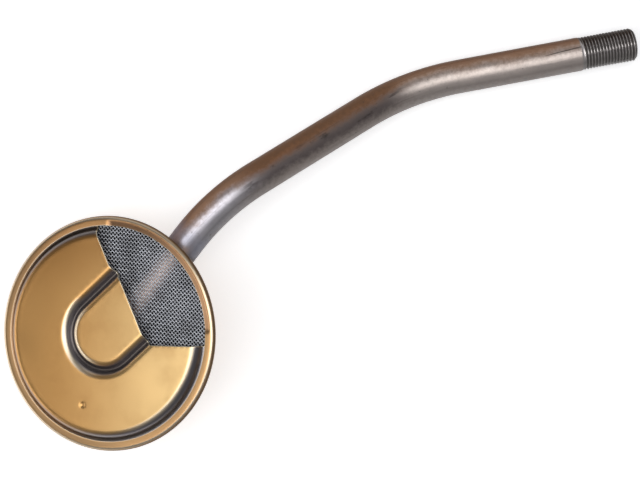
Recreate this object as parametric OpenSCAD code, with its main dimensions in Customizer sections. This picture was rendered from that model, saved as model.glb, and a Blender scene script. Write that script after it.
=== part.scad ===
// Oil pickup tube: a bent, threaded suction tube brazed into the side of a
// round strainer, whose wire screen is clamped under a pressed baffle plate.
// The part lies at rest: the tube's threaded stretch and the cup's bottom
// edge touch the same level surface. The origin is on the thread's axis, at
// the inner edge of the end chamfer, and +X points out of the threaded end.

/* [Tube] */
// Outer diameter of the tube
tube_od = 16.3; // [13:0.1:18]
// Wall thickness of the tube
tube_wall = 2; // [1.5:0.1:2.5]
// Length from the threaded end to the corner of the upper bend
outlet_len = 112; // [90:0.1:150]
// Length between the corners of the two bends
middle_len = 110.7; // [95:0.1:150]
// Turn of the upper bend, seen from above
upper_turn = 22; // [10:0.5:35]
// Radius of the upper bend, on the tube's centre line
upper_bend_r = 112; // [60:1:130]
// Radius of the lower bend, on the tube's centre line
lower_bend_r = 75; // [45:1:85]
// Distance from the strainer's axis to the corner of the lower bend
reach = 79; // [78:0.5:95]
// Distance from the strainer's axis to the tube's open mouth
mouth_r = 5; // [0:0.5:15]

/* [Thread] */
// Length of the threaded stretch, with its chamfer
thread_len = 27; // [15:0.5:40]
// Pitch of the thread, whose grooves are rings here
thread_pitch = 1.5; // [1:0.25:2]
// Depth of the thread's grooves
thread_depth = 0.8; // [0.5:0.05:1]
// Depth by which the thread's crests lie below the tube's surface
crest_drop = 0.2; // [0.16:0.01:0.4]
// Chamfer at the threaded end
end_chamfer = 1.2; // [0.5:0.1:1.5]

/* [Strainer cup] */
// Diameter over the rolled rim
strainer_d = 110; // [104:0.5:120]
// Sheet thickness of the cup
cup_t = 1; // [0.7:0.1:1.2]
// Width of the rim's lip, from its inner edge to the outside
lip_w = 4.5; // [4.2:0.1:6]
// Slope of the cup's side wall from the rim's plane
side_slope = 50; // [45:1:60]
// Radius of the flat bottom, out to the corner with the side wall
bottom_r = 33.7; // [30:0.1:36]
// Outside radius between the bottom and the side wall
bottom_fillet = 6.5; // [3:0.5:8]
// Outside radius between the side wall and the rim's flange
flange_fillet = 1.5; // [0.8:0.1:2]
// Lean of the strainer's axis from upright
lean = 18.5; // [14:0.5:22]
// Heading of that lean, seen from above, from the tube's outlet
lean_heading = 169.5; // [160:0.5:180]
// Direction of the tube in the strainer's plane
tube_azimuth = 50.3; // [45:0.1:58]
// Room between the tube and the rim's flange
tube_gap = 1.9; // [1.6:0.1:4]
// Room between the tube and the cup's bottom
floor_gap = 1.3; // [0.5:0.1:4]
// Leg of the braze fillet between the tube and the cup
braze_leg = 1.5; // [0.8:0.1:2.5]

/* [Screen] */
// Thickness of the woven screen
screen_t = 0.9; // [0.6:0.1:1.2]
// Spacing of the screen's bars
screen_pitch = 4.2; // [4.1:0.1:6]
// Width of the screen's bars
screen_bar = 1.5; // [0.8:0.1:2.5]
// Direction of the upper bars in the strainer's plane
screen_azimuth = 40.5; // [0:0.5:90]

/* [Baffle plate] */
// Sheet thickness of the plate
plate_t = 0.9; // [0.6:0.1:1]
// Height of the raised face above the plate's flange
face_h = 4.5; // [3.8:0.1:6]
// Outside radius of the shoulder round the raised face
shoulder_r = 3.4; // [2.6:0.1:4]
// Inside radius at the foot of the shoulder
foot_r = 1.6; // [0.6:0.1:2]
// Slope of the shoulder's wall
shoulder_slope = 75; // [65:1:80]
// Radius of the U-shaped groove, on its centre line
groove_r = 17; // [14:0.5:20]
// Direction in which the groove's legs run
groove_azimuth = 41; // [38:0.5:46]
// Depth of the groove
groove_depth = 3; // [2.4:0.1:3.4]
// Slope of the groove's sides
groove_slope = 60; // [50:1:65]
// Radius of the groove's upper edges
groove_edge_r = 2.6; // [1.8:0.1:3]
// Radius of the groove's bottom
groove_bottom_r = 1.2; // [0.8:0.1:1.6]
// Direction that the cut edge of the plate faces
cut_azimuth = 24.2; // [20:0.2:30]
// Distance of the cut edge from the strainer's axis
cut_dist = 16.5; // [14:0.5:18]
// Length by which the tongue inside the groove stands past the cut edge
tongue_len = 2.3; // [1:0.1:4]
// Distance of the lower cut edge below the strainer's axis
lower_cut = 4.7; // [2:0.1:8]
// Radius in the corner between the two cut edges
cut_corner_r = 4; // [2:0.5:6]
// Angle by which the raised lip runs past the plate's cut edges
lip_lap_angle = 7.5; // [4:0.5:10]
// Place of the small dent in the raised face
dent_at = [-10.1, -33.4];
// Diameter of the dent
dent_d = 3.4; // [2:0.1:5]
// Depth of the dent
dent_depth = 0.4; // [0.1:0.05:0.45]

/* [Hidden] */
$fn = 96;
arc_steps = 8;
fit_gap = 0.05;
tube_hole_gap = 0.1;
bend_swell = 0.03;
bend_lap = 1;
groove_share = 0.7;
far = strainer_d;

tube_r = tube_od / 2;
bore_r = tube_r - tube_wall;
rim_r = strainer_d / 2;

// Heights in the strainer's frame: zero is the top of the plate's flange.
screen_top = -plate_t;
flange_top = screen_top - screen_t;
flange_mid = flange_top - cup_t / 2;
tube_depth = cup_t + tube_gap + tube_r - flange_top;
cup_depth = tube_depth + tube_r + floor_gap + cup_t;
bottom_mid = cup_t / 2 - cup_depth;

lip_in = rim_r - lip_w;
lip_mid_high = cup_t / 2;
lip_mid_low = screen_top + cup_t / 2;
clamped_r = rim_r - cup_t - (lip_mid_high - flange_mid) / 2 + cup_t / 2 - fit_gap;

// Points on an arc about c, from angle a to angle b.
function arc(c, r, a, b) = [for (i = [0:arc_steps]) let (w = a + (b - a) * i / arc_steps) c + r * [cos(w), sin(w)]];
function unit(v) = v / norm(v);
function dir(a) = [cos(a), sin(a)];

// Left-hand normal of a path at point i, lengthened so that both neighbouring edges are offset by one.
function edge_dir(p, i) = unit(p[i + 1] - p[i]);
function miter(p, i) =
    let (a = edge_dir(p, max(i - 1, 0)), b = edge_dir(p, min(i, len(p) - 2)), m = unit(a + b))
    [-m.y, m.x] / (m * b);

// Outline of sheet of thickness t along a path on its middle surface.
function sheet(p, t) = concat(
    [for (i = [0:len(p) - 1]) p[i] + miter(p, i) * t / 2],
    [for (i = [len(p) - 1:-1:0]) p[i] - miter(p, i) * t / 2]);

// Strainer cup: side wall corners and fillets on the sheet's middle surface.
bottom_fillet_mid = bottom_fillet - cup_t / 2;
flange_fillet_mid = flange_fillet + cup_t / 2;
bottom_centre = [bottom_r - bottom_fillet_mid * tan(side_slope / 2), bottom_mid + bottom_fillet_mid];
flange_corner_r = bottom_r + (flange_mid - bottom_mid) / tan(side_slope);
flange_centre = [flange_corner_r + flange_fillet_mid * tan(side_slope / 2), flange_mid - flange_fillet_mid];

// Half section of the dish, out to the radius where the rolled rim begins, and of the rim, whose lip slopes
// from the roll to its inner edge, with its middle there at height lip_mid.
rim_from_r = (flange_centre.x + clamped_r) / 2;
dish_path = concat([[0, bottom_mid]], arc(bottom_centre, bottom_fillet_mid, -90, side_slope - 90),
    arc(flange_centre, flange_fillet_mid, 90 + side_slope, 90), [[rim_from_r, flange_mid]]);
function rim_path(lip_mid) =
    let (roll = (lip_mid_high - flange_mid) / 2, roll_centre = [rim_r - cup_t / 2 - roll, flange_mid + roll])
    concat([[rim_from_r, flange_mid]], arc(roll_centre, roll, -90, 90), [[lip_in, lip_mid]]);

// Radius of the side wall's outer surface at height z.
wall_offset = cup_t / 2 / sin(side_slope);
function wall_r(z) = bottom_r + wall_offset + (z - bottom_mid) / tan(side_slope);

// The strainer's frame in the part: it leans, and its lowest point lies level with the tube's underside.
contact_h = bottom_centre.x * sin(lean) - bottom_centre.y * cos(lean) + bottom_fillet;
centre_z = contact_h - tube_r;
axis_n = [sin(lean) * cos(lean_heading), sin(lean) * sin(lean_heading), cos(lean)];
axis_x = [-cos(lean) * cos(lean_heading), -cos(lean) * sin(lean_heading), sin(lean)];
axis_y = cross(axis_n, axis_x);
tube_out = cos(tube_azimuth) * axis_x + sin(tube_azimuth) * axis_y;

// Corners of the tube's centre line. The middle stretch rises to meet the strainer.
lower_z = centre_z + reach * tube_out.z - tube_depth * axis_n.z;
middle_plan = sqrt(middle_len * middle_len - lower_z * lower_z);
outlet_end = [end_chamfer, 0, 0];
upper_corner = outlet_end - [outlet_len, 0, 0];
lower_corner = upper_corner + [-middle_plan * cos(upper_turn), -middle_plan * sin(upper_turn), lower_z];
strainer_centre = lower_corner - reach * tube_out + tube_depth * axis_n;
mouth = lower_corner - (reach - mouth_r) * tube_out;

// Bends: length of straight tube that each takes on both sides of its corner.
middle_dir = unit(lower_corner - upper_corner);
upper_angle = acos([-1, 0, 0] * middle_dir);
lower_angle = acos(-tube_out * middle_dir);
upper_take = upper_bend_r * tan(upper_angle / 2);
lower_take = lower_bend_r * tan(lower_angle / 2);

// Groove of the plate on the sheet's middle surface.
groove_edge_mid = groove_edge_r - plate_t / 2;
groove_bottom_mid = groove_bottom_r + plate_t / 2;
groove_drop = (groove_edge_mid + groove_bottom_mid) * (1 - cos(groove_slope));
groove_half = (groove_edge_mid + groove_bottom_mid) * sin(groove_slope)
    + (groove_depth - groove_drop) / tan(groove_slope);
groove_path = concat(
    arc([-groove_half, -groove_edge_mid], groove_edge_mid, 90, 90 - groove_slope),
    arc([0, groove_bottom_mid - groove_depth], groove_bottom_mid, -90 - groove_slope, groove_slope - 90),
    arc([groove_half, -groove_edge_mid], groove_edge_mid, 90 + groove_slope, 90));
groove_dir = dir(groove_azimuth);
groove_side = dir(groove_azimuth + 90);
leg_turn = groove_azimuth - cut_azimuth;
leg_len = (cut_dist + tongue_len + groove_r) / cos(leg_turn);

// Shoulder of the plate on the sheet's middle surface, and the radius where the raised face ends.
face_mid = face_h - plate_t / 2;
shoulder_mid = shoulder_r - plate_t / 2;
foot_mid = foot_r + plate_t / 2;
shoulder_drop = (shoulder_mid + foot_mid) * (1 - cos(shoulder_slope));
shoulder_run = (shoulder_mid + foot_mid) * sin(shoulder_slope) + (face_h - shoulder_drop) / tan(shoulder_slope);
foot_edge_r = lip_in - fit_gap;
face_r = foot_edge_r - shoulder_run;
plate_path = concat([[0, face_mid]],
    arc([face_r, face_mid - shoulder_mid], shoulder_mid, 90, 90 - shoulder_slope),
    arc([foot_edge_r, foot_mid - plate_t / 2], foot_mid, -90 - shoulder_slope, -90),
    [[clamped_r, -plate_t / 2]]);

// The lip's inner edge lies lower where no plate is clamped under it.
lip_seat_r = (lip_in + clamped_r) / 2;
function whole_tenth(a) = round(a * 10) / 10;
low_from = whole_tenth(lip_lap_angle - asin(lower_cut / lip_seat_r));
low_to = whole_tenth(cut_azimuth + acos(cut_dist / lip_seat_r) - lip_lap_angle);

// Screen bars: enough of them to cross the whole disc.
bar_count = ceil(clamped_r / screen_pitch);
window_inset = screen_bar / 2;

// Braze fillet: points about the tube and along its section.
braze_sides = 48;
braze_steps = 5;
braze_room = tube_gap - fit_gap - flange_fillet * (1 - cos(side_slope));
braze_size = min(braze_leg, braze_room);
dent_ball_r = (dent_d * dent_d / 4 + dent_depth * dent_depth) / (2 * dent_depth);

// Places children in the strainer's frame.
module in_strainer() {
    c = strainer_centre;
    multmatrix([
        [axis_x.x, axis_y.x, axis_n.x, c.x],
        [axis_x.y, axis_y.y, axis_n.y, c.y],
        [axis_x.z, axis_y.z, axis_n.z, c.z]])
        children();
}

// Places children with Z along the line from a to b, and X across it.
module along(a, b) {
    z = unit(b - a);
    x = unit(cross([0, 1, 0], z));
    y = cross(z, x);
    multmatrix([[x.x, y.x, z.x, a.x], [x.y, y.y, z.y, a.y], [x.z, y.z, z.z, a.z]])
        children();
}

// Cross-section of the tube, its wall swollen by swell on both sides.
module tube_ring(swell) {
    difference() {
        circle(r = tube_r + swell);
        circle(r = bore_r - swell);
    }
}

// Straight stretch of tube from a to b.
module straight(a, b) {
    along(a, b) linear_extrude(norm(b - a)) tube_ring(0);
}

// Bend of radius bend_r: it comes in along d, turns at the corner and leaves along e. Its wall is a little
// thicker, and takes in the ends of the straight stretches.
module bend(corner, d, e, angle, bend_r) {
    axis = unit(cross(d, e));
    side = cross(axis, d);
    c = corner - bend_r * tan(angle / 2) * d + bend_r * side;
    multmatrix([
        [-side.x, d.x, axis.x, c.x],
        [-side.y, d.y, axis.y, c.y],
        [-side.z, d.z, axis.z, c.z]])
        rotate_extrude(angle = angle) translate([bend_r, 0]) tube_ring(bend_swell);
}

// Outlet stretch: the threaded end is chamfered, cut down to the thread's crests and grooved.
module outlet() {
    crest_r = tube_r - crest_drop;
    straight_end = outlet_len - upper_take + bend_lap;
    count = floor((thread_len - end_chamfer) / thread_pitch) - 1;
    flank = thread_pitch * groove_share / 2;
    grooves = [for (i = [1:count]) let (at = end_chamfer + (i - 0.25) * thread_pitch)
        each [[crest_r, at - flank], [crest_r - thread_depth, at], [crest_r, at + flank]]];
    along(outlet_end, upper_corner)
        rotate_extrude()
        polygon(concat(
            [[bore_r, 0], [crest_r - end_chamfer, 0], [crest_r, end_chamfer]],
            grooves,
            [[crest_r, thread_len], [tube_r, thread_len], [tube_r, straight_end], [bore_r, straight_end]]));
}

// Tube: outlet, upper bend, middle stretch, lower bend and the stretch that ends inside the cup.
module pickup_tube() {
    color([0.56, 0.51, 0.48]) {
        outlet();
        bend(upper_corner, [-1, 0, 0], middle_dir, upper_angle, upper_bend_r);
        straight(upper_corner + (upper_take - bend_lap) * middle_dir,
            lower_corner - (lower_take - bend_lap) * middle_dir);
        bend(lower_corner, middle_dir, -tube_out, lower_angle, lower_bend_r);
        straight(lower_corner - (lower_take - bend_lap) * tube_out, mouth);
    }
}

// Sector of the rolled rim, with the inner edge of its lip at one height.
module rim_sector(lip_mid, from, to) {
    rotate_extrude(angle = to - from, start = from) polygon(sheet(rim_path(lip_mid), cup_t));
}

// Pressed dish, its edge rolled over the screen and the plate, with a hole in its side for the tube.
module strainer_cup() {
    color([0.78, 0.6, 0.33])
    difference() {
        in_strainer() {
            rotate_extrude() polygon(sheet(dish_path, cup_t));
            rim_sector(lip_mid_low, low_from, low_to);
            rim_sector(lip_mid_high, low_to, low_from + 360);
        }
        along(mouth, lower_corner) cylinder(r = tube_r + tube_hole_gap, h = reach - mouth_r);
    }
}

// Point at the mouth of the groove's upper leg, on its edge at radius r, where the plate is cut at distance d.
function mouth_corner(r, d) = r * groove_side + (d + r * sin(leg_turn)) / cos(leg_turn) * groove_dir;

// Outline of the plate's cut-away quarter, drawn in by inset: the lower cut, the rounded corner, the tongue's
// end, the groove's mouth and the cut edge beyond it.
module cut_shape(inset) {
    d = cut_dist + inset;
    tongue_d = d + tongue_len;
    low = inset - lower_cut;
    facing = dir(cut_azimuth);
    up = dir(cut_azimuth + 90);
    arc_y = low + cut_corner_r;
    arc_x = (tongue_d + cut_corner_r - arc_y * facing.y) / facing.x;
    outer = mouth_corner(groove_r + groove_half, d);
    polygon(concat(
        [[far, low]],
        arc([arc_x, arc_y], cut_corner_r, -90, cut_azimuth - 180),
        [mouth_corner(groove_r - groove_half, tongue_d), outer, outer + far * up, outer + far * (up + facing)]));
}

// Band of the raised face that the groove takes up.
module groove_band() {
    rotate([0, 0, groove_azimuth]) {
        difference() {
            circle(r = groove_r + groove_half);
            circle(r = groove_r - groove_half);
            translate([0, -far]) square(2 * far);
        }
        for (side = [-1, 1])
            translate([0, side * groove_r - groove_half]) square([leg_len, 2 * groove_half]);
    }
}

// Pressed groove: half a ring and two straight legs of the same section.
module groove_sheet() {
    rotate([0, 0, groove_azimuth]) translate([0, 0, face_mid]) {
        rotate([0, 0, 90])
            rotate_extrude(angle = 180)
            translate([groove_r, 0])
            polygon(sheet(groove_path, plate_t));
        for (side = [-1, 1])
            translate([0, side * groove_r, 0])
            rotate([90, 0, 90])
            linear_extrude(leg_len)
            polygon(sheet(groove_path, plate_t));
    }
}

// Pressed plate: clamped flange, rounded shoulder, raised face with the groove, cut-away quarter and dent.
module baffle_plate() {
    color([0.8, 0.63, 0.36])
    in_strainer()
    difference() {
        union() {
            difference() {
                rotate_extrude() polygon(sheet(plate_path, plate_t));
                translate([0, 0, face_mid - plate_t]) linear_extrude(2 * plate_t) groove_band();
            }
            groove_sheet();
        }
        translate([0, 0, -2 * face_h]) linear_extrude(4 * face_h) cut_shape(0);
        translate([dent_at.x, dent_at.y, face_h - dent_depth + dent_ball_r]) sphere(r = dent_ball_r);
    }
}

// One layer of the screen: a disc with slots between parallel bars where the plate leaves it open.
module screen_layer(azimuth) {
    linear_extrude(screen_t / 2)
    difference() {
        circle(r = clamped_r);
        intersection() {
            circle(r = lip_in - window_inset);
            cut_shape(window_inset);
            rotate([0, 0, azimuth])
                for (i = [-bar_count:bar_count])
                    translate([-clamped_r, i * screen_pitch - (screen_pitch - screen_bar) / 2])
                    square([2 * clamped_r, screen_pitch - screen_bar]);
        }
    }
}

// Screen: two layers of crossing bars.
module screen() {
    color([0.6, 0.62, 0.66])
    in_strainer() {
        translate([0, 0, flange_top]) screen_layer(screen_azimuth + 90);
        translate([0, 0, flange_top + screen_t / 2]) screen_layer(screen_azimuth);
    }
}

// Point where the side wall's outer surface, moved out by off, meets a cylinder of radius r about the tube.
function braze_point(angle, r, off) =
    let (w = r * cos(angle), z = r * sin(angle) - tube_depth, q = wall_r(z) + off)
    [sqrt(q * q - w * w), w, z];

// Section of the braze at one angle about the tube: the root, then a hollow curve from the tube to the cup.
function braze_section(angle) =
    let (skin = (tube_r + fit_gap) / cos(180 / braze_sides),
        root = braze_point(angle, skin, 2 * fit_gap),
        on_tube = root + [braze_size, 0, 0],
        on_cup = braze_point(angle, skin + braze_size, 2 * fit_gap))
    concat([root], [for (i = [0:braze_steps]) let (s = i / braze_steps)
        (1 - s) * (1 - s) * on_tube + 2 * s * (1 - s) * (root + on_tube / 4 + on_cup / 4 - root / 2) + s * s * on_cup]);

// Braze between the tube and the cup's side wall, swept about the tube.
module braze_fillet() {
    ring = braze_steps + 2;
    points = [for (k = [0:braze_sides - 1]) each braze_section(k * 360 / braze_sides)];
    faces = [for (k = [0:braze_sides - 1], j = [0:ring - 1])
        let (a = k * ring, b = (k + 1) % braze_sides * ring, n = (j + 1) % ring)
        each [[a + j, b + j, b + n], [a + j, b + n, a + n]]];
    color([0.72, 0.56, 0.32])
    in_strainer() rotate([0, 0, tube_azimuth]) polyhedron(points, faces);
}

pickup_tube();
strainer_cup();
screen();
baffle_plate();
braze_fillet();
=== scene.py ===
"""Oil pickup tube: its visible pieces and its studio, laid out as a Blender add-on.

Lengths are in metres and angles in radians. Pieces of the strainer are worked out in the strainer's own
frame, with zero at the top of the plate's flange and Z along the strainer's axis, and then turned into
the part.
"""
from math import acos, cos, pi, radians, sin, sqrt, tan
from types import SimpleNamespace

import bmesh
import bpy
import numpy as np
from bpy.props import FloatProperty, FloatVectorProperty, PointerProperty
from mathutils.geometry import delaunay_2d_cdt
from numpy.linalg import norm
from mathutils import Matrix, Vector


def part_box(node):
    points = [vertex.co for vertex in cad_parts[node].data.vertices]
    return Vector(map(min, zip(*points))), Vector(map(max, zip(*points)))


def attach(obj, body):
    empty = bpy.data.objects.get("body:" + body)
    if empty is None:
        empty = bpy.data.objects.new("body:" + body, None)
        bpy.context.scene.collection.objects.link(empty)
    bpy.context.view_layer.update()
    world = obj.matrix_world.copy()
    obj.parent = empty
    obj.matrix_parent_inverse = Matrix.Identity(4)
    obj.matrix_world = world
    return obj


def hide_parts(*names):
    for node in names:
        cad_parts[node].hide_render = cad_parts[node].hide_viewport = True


bl_info = {
    "name": "Oil pickup tube",
    "version": (1, 0, 0),
    "blender": (4, 5, 0),
    "location": "3D View > Sidebar > Pickup",
    "description": "Builds the pieces of an oil pickup tube over its CAD frame, and a small studio",
    "category": "Object",
}

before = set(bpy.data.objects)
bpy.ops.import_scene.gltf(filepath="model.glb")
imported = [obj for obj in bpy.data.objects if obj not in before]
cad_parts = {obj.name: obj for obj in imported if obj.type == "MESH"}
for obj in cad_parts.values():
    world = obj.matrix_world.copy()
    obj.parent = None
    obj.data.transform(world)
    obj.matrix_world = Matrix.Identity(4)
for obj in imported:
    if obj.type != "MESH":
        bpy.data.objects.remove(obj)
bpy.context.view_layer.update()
MM = 0.001

# Meshes: points nearer than WELD are merged, and edges shorter than SLIVER are dissolved. A piece may stand
# past its solid's box by SPARE.
WELD = 5e-6
SLIVER = 1e-7
SPARE = 0.0002

# Room between the tube and its hole, the braze and the tube, and the braze and the cup
HOLE_GAP = 0.0001
SKIN_GAP = 0.00005
WALL_GAP = 0.0001

# Tube: radius at which it leaves the cup, the lengths over which the painted shade of the middle stretch
# comes and goes, the scratch, the directions that its stained side and its painted highlight face, and the
# stretch of its pattern round the skin
EXIT_R = 0.0545
SHADE_FROM = (0.107, 0.13)
SHADE_TO = (0.19, 0.222)
SCRATCH_AT = 0.0255
SCRATCH_SLOPE = 0.7
STAINED_SIDE = (-0.45, 0.86, 0.12)
GLINT_SIDE = (-0.06, 0.13, 0.99)
UV_AROUND = 10

# Colours of the tube: by the lower bend, painted shade on the middle stretch and the smears there, tinted by
# heat, painted shade and highlight inside the cup, and painted highlight and shade on the thread
COOL_SCALE = (0.27, 0.275, 0.31)
COOL_STEEL = (0.74, 0.71, 0.76)
SHADE_BROWN = (0.13, 0.078, 0.045)
SHADE_BLACK = (0.075, 0.055, 0.055)
SMEARED = (0.03, 0.022, 0.02)
HEAT_BLUE = (0.26, 0.29, 0.4)
WITHIN_SHADE = (0.09, 0.075, 0.075)
WITHIN_HIGHLIGHT = (0.85, 0.66, 0.58)
THREAD_HIGHLIGHT = (0.96, 0.9, 0.88)
ROOT_SHADE = (0.05, 0.042, 0.038)

# Colours that the marks of the gold sheet stand for, in the order in which they are laid on: a coppery tone,
# a painted highlight, the grey of drawn plating, painted shade, and painted shade with a matt finish on the
# rim's roll
GOLD_MARKS = {
    "rosy": (0.95, 0.52, 0.28),
    "highlight": (0.95, 0.85, 0.66),
    "drawn": (0.28, 0.262, 0.268),
    "shaded": (0.07, 0.055, 0.045),
    "rim_shade": (0.1, 0.06, 0.035),
}


def length(name, text, mm):
    """Property for a length given in millimetres."""
    return FloatProperty(name=name, description=text, default=mm * MM, precision=5,
                         unit="LENGTH", subtype="DISTANCE")


def angle(name, text, degrees):
    """Property for an angle given in degrees."""
    return FloatProperty(name=name, description=text, default=radians(degrees),
                         unit="ROTATION", subtype="ANGLE")


def colour(name, text, rgb):
    """Property for a colour given as linear red, green and blue."""
    return FloatVectorProperty(name=name, description=text, default=rgb, size=3, min=0, max=1,
                               subtype="COLOR")


def factor(name, text, value):
    """Property for a plain number."""
    return FloatProperty(name=name, description=text, default=value, min=0)


class TubeProps(bpy.types.PropertyGroup):
    outer_r: length("Outer radius", "Radius of the plain tube", 8.15)
    bore_r: length("Bore radius", "Radius of the hole through it", 6.15)
    outlet_len: length("Outlet length", "From the threaded end to the upper corner", 112)
    middle_len: length("Middle length", "Between the corners of the bends", 110.7)
    upper_turn: angle("Upper turn", "Turn of the upper bend from above", 22)
    upper_bend_r: length("Upper bend radius", "On the centre line", 112)
    lower_bend_r: length("Lower bend radius", "On the centre line", 75)
    reach: length("Reach", "From the lower corner to the strainer's axis", 79)
    mouth_r: length("Mouth", "From the strainer's axis to the inner end", 5)
    end_chamfer: length("End chamfer", "Chamfer of the threaded end", 1.2)
    thread_len: length("Thread length", "Length of the threaded end", 27)
    pitch: length("Pitch", "Pitch of the thread", 1.5)
    crest_r: length("Crest radius", "Radius over the thread's crests", 7.95)
    thread_depth: length("Thread depth", "From crest to root", 0.92)
    # Steel is the colour of the painted highlight along the tube's top
    steel: colour("Steel", "Bare steel, rubbed bright", (0.82, 0.72, 0.66))
    scale: colour("Scale", "Grey scale on the tube", (0.335, 0.29, 0.265))
    tan: colour("Tan", "Varnish stain on the upper left side", (0.37, 0.163, 0.076))
    pits: colour("Pits", "Pits and draw lines", (0.08, 0.065, 0.055))
    thread: colour("Thread", "Darkened steel of the thread", (0.23, 0.214, 0.204))


class CupProps(bpy.types.PropertyGroup):
    rim_r: length("Rim radius", "Outer radius of the rolled rim", 55)
    cup_t: length("Sheet", "Sheet thickness of the cup", 1)
    cup_depth: length("Depth", "From the plate's flange to the cup's underside", 23.3)
    lip_in: length("Lip", "Inner radius of the rolled lip", 50.5)
    lip_fall: length("Lip fall", "Fall of the lip's inner edge under the roll", 0.14)
    side_slope: angle("Side slope", "Slope of the cup's side", 50)
    bottom_r: length("Bottom radius", "Radius where the bottom meets the side", 33.7)
    bottom_fillet: length("Bottom fillet", "Outer radius round the bottom", 6.5)
    flange_fillet: length("Flange fillet", "Radius under the flange", 1.5)
    lean: angle("Lean", "Lean of the strainer's axis", 18.5)
    lean_heading: angle("Lean heading", "Direction in which it leans", 169.5)
    tube_azimuth: angle("Tube azimuth", "Direction in which the tube leaves", 50.3)
    tube_depth: length("Tube depth", "Depth of the tube's axis", 12.85)
    braze_leg: length("Braze leg", "Leg of the braze fillet", 1.29)
    # The inside colour is nearly black, as painted shade in the cup under the screen and plate
    inside: colour("Inside colour", "Darkened inside of the cup", (0.035, 0.03, 0.03))
    brass: colour("Sheet colour", "Gold-coloured sheet of the cup", (0.62, 0.37, 0.17))
    braze: colour("Braze colour", "Braze between the tube and the cup", (0.45, 0.3, 0.15))


class ScreenProps(bpy.types.PropertyGroup):
    thick: length("Thickness", "Thickness of the woven screen", 0.9)
    wire_d: length("Wire", "Diameter of the wires", 0.48)
    warp_pitch: length("Warp pitch", "Spacing of the wires along the azimuth", 1.386)
    weft_pitch: length("Weft pitch", "Spacing of the wires that cross them", 1.29)
    azimuth: angle("Azimuth", "Direction of the warp wires", 40.5)
    wire: colour("Wire colour", "Bright drawn wire", (0.8, 0.82, 0.87))


class PlateProps(bpy.types.PropertyGroup):
    thick: length("Sheet", "Sheet thickness of the plate", 0.9)
    face_h: length("Face height", "Height of the raised face over the flange", 4.5)
    shoulder_r: length("Shoulder radius", "Outer radius of the shoulder", 4.4)
    foot_r: length("Foot radius", "Inner radius at the shoulder's foot", 1.6)
    shoulder_slope: angle("Shoulder slope", "Slope of the shoulder's wall", 75)
    clamped_r: length("Flange radius", "Radius of the flange under the lip", 53.05)
    groove_r: length("Groove radius", "Radius of the groove's centre line", 17)
    groove_azimuth: angle("Groove azimuth", "Direction of the groove's legs", 41)
    groove_depth: length("Groove depth", "Depth of the groove", 3)
    groove_slope: angle("Groove slope", "Slope of the groove's sides", 60)
    groove_edge_r: length("Groove edge", "Radius of the groove's upper edges", 3.8)
    groove_bottom_r: length("Groove bottom", "Radius of the groove's bottom", 1.2)
    cut_azimuth: angle("Cut azimuth", "Direction that the cut edge faces", 24.2)
    cut_dist: length("Cut distance", "Distance of the cut edge from the axis", 16.5)
    tongue_len: length("Tongue", "Length of the tongue past the cut edge", 2.3)
    lower_cut: length("Lower cut", "Distance of the lower cut below the axis", 4.7)
    cut_corner_r: length("Cut corner", "Radius in the corner of the cuts", 4)
    lip_lap: angle("Lip lap", "Angle of the raised lip past the cuts", 7.5)
    dent_x: length("Dent across", "Place across the strainer", -10.1)
    dent_y: length("Dent along", "Place along the strainer", -33.4)
    dent_d: length("Dent diameter", "Diameter of the small dent", 3.4)
    dent_depth: length("Dent depth", "Depth of the small dent", 0.4)
    sway: length("Sway", "Depth of the slow waves in the face", 0.04)
    hollow: length("Hollow", "Depth of the hollow by the shoulder", 0.04)
    edge_r: length("Edge rounding", "Rounding of the cut edges", 0.3)
    gold: colour("Face colour", "Satin gold of the plate", (0.66, 0.36, 0.125))
    # Lit gold is the plate's right side, lighter as a painted highlight
    lit_gold: colour("Pale colour", "Gold of the plate's lighter side", (0.72, 0.49, 0.22))
    edge: colour("Edge colour", "Sheared edge of the plate", (0.95, 0.84, 0.64))


class StageProps(bpy.types.PropertyGroup):
    floor: colour("Floor", "Colour of the floor", (0.9, 0.9, 0.9))
    room: colour("Room", "Colour of the room that metal reflects", (0.16, 0.16, 0.17))
    glow: factor("Floor glow", "Glow of the floor where it is seen", 0.55)
    key: factor("Softbox", "Power of the wide light overhead, in watts", 6)
    side: factor("Side light", "Power of the low light beyond the tube, in watts", 1)
    left: factor("Left light", "Power of the low light on the left, in watts", 1.3)
    camera_x: length("Camera X", "Place of the camera", -166)
    camera_y: length("Camera Y", "Place of the camera", -65.8)
    camera_z: length("Camera height", "Height of the camera", 632)
    camera_turn: angle("Camera turn", "Turn of the camera about the vertical", -10.53)


GROUPS = {"tube": TubeProps, "cup": CupProps, "screen": ScreenProps, "plate": PlateProps, "stage": StageProps}


def settings():
    """The scene's property groups by their short names."""
    return SimpleNamespace(**{key: getattr(bpy.context.scene, "pickup_" + key) for key in GROUPS})


def assign(target, **values):
    """Gives an object several attributes."""
    for key, value in values.items():
        setattr(target, key, value)
    return target


# Geometry helpers


def unit(v):
    """Vectors at length one."""
    return v / norm(v, axis=-1, keepdims=True)


def heading(a):
    """Flat unit vector at angle a."""
    return np.array([cos(a), sin(a)])


def circle(count):
    """Even angles round a full turn."""
    return np.arange(count) * 2 * pi / count


def arc(cx, cy, r, a, b, count):
    """Points (cx + r cos w, cy + r sin w) for w from a to b."""
    w = np.linspace(a, b, count)
    return np.column_stack([cx + r * np.cos(w), cy + r * np.sin(w)])


def smoothstep(x, low=0, span=1):
    """3x^2 - 2x^3 over a span from low, and flat outside."""
    x = np.clip((x - low) / span, 0, 1)
    return x * x * (3 - 2 * x)


def turned(v, axis, w):
    """The vector v turned by the angle w about a unit axis."""
    return v * np.cos(w) + np.cross(axis, v) * np.sin(w) + axis * (axis @ v) * (1 - np.cos(w))


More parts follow.
